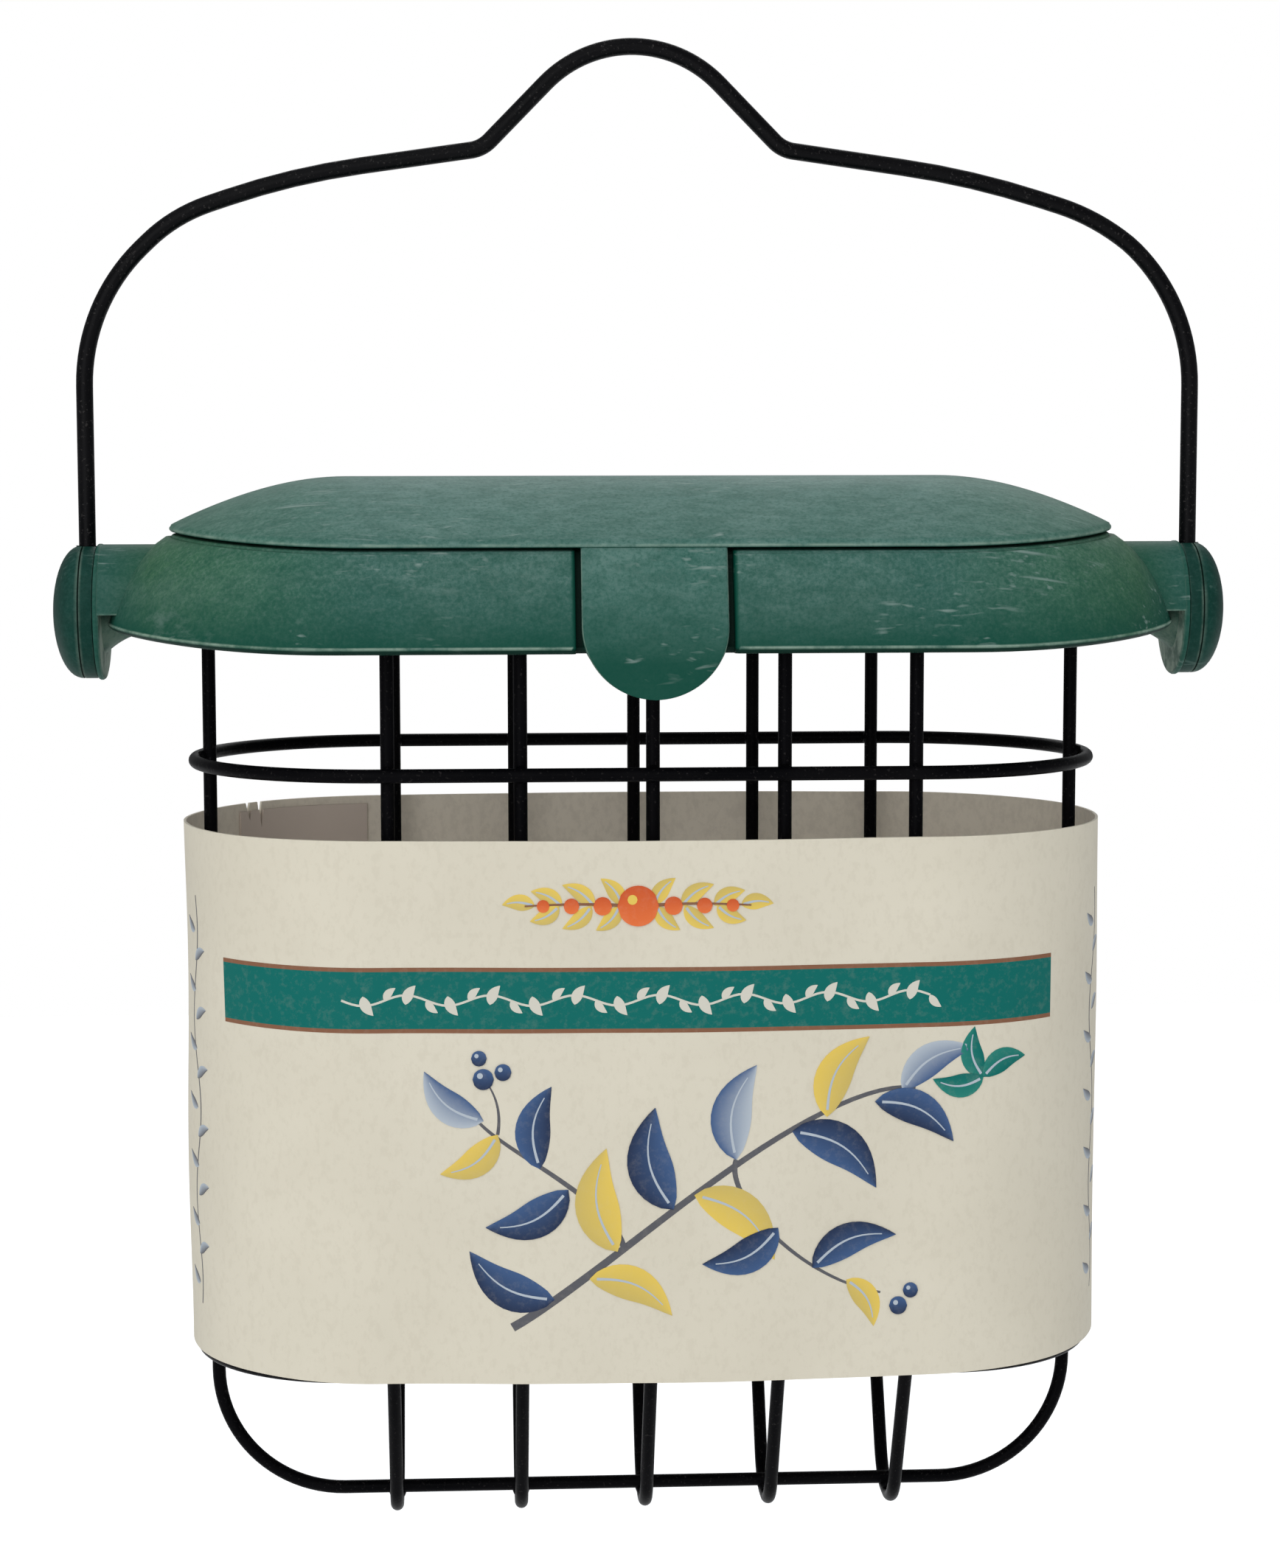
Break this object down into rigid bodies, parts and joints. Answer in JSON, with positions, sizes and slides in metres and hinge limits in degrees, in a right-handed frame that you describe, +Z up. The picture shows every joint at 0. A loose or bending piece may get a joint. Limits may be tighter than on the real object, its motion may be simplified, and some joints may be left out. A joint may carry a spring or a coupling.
{
  "type": "suet feeder",
  "caption": "Hanging wire cage for a suet block in a loop of card, with a moulded flip-top lid and a formed wire handle that swings on end pivots.",
  "frame": {"origin": "where a hook bears, under the middle of the handle's hump", "axes": "+X to the right along the feeder's length, +Y to the back, where the lid's hinge is, +Z up; the front is towards -Y"},
  "size_m": [0.175, 0.0704, 0.2216],
  "materials": {
    "green_plastic": "satin moulded plastic",
    "green_plastic_top": "satin moulded plastic, a little lighter",
    "black_wire": "black powder coat",
    "bright_steel": "bright",
    "cream_card": "matt card"
  },
  "bodies": {
    "handle": {"handle_wire": "black_wire", "left_end_cap": "green_plastic", "right_end_cap": "green_plastic"},
    "feeder": {"canopy": "green_plastic", "left_hinge_pin": "bright_steel", "right_hinge_pin": "bright_steel", "cross_wire_1": "black_wire", "cross_wire_2": "black_wire", "cross_wire_3": "black_wire", "cross_wire_4": "black_wire", "cross_wire_5": "black_wire", "long_wire": "black_wire", "top_ring": "black_wire", "upper_ring": "black_wire", "lower_ring": "black_wire", "card_sleeve": "cream_card"},
    "lid": {"flip_lid": "green_plastic_top"}
  },
  "joints": [
    {"name": "handle_swing", "type": "hinge", "parent": "handle", "child": "feeder", "pos_m": [0, 0, -0.08165], "axis": [-1, 0, 0], "range_deg": [-145, 145]},
    {"name": "lid_hinge", "type": "hinge", "parent": "feeder", "child": "lid", "pos_m": [0, 0.03309, -0.07305], "axis": [-1, 0, 0], "range_deg": [0, 120]}
  ]
}
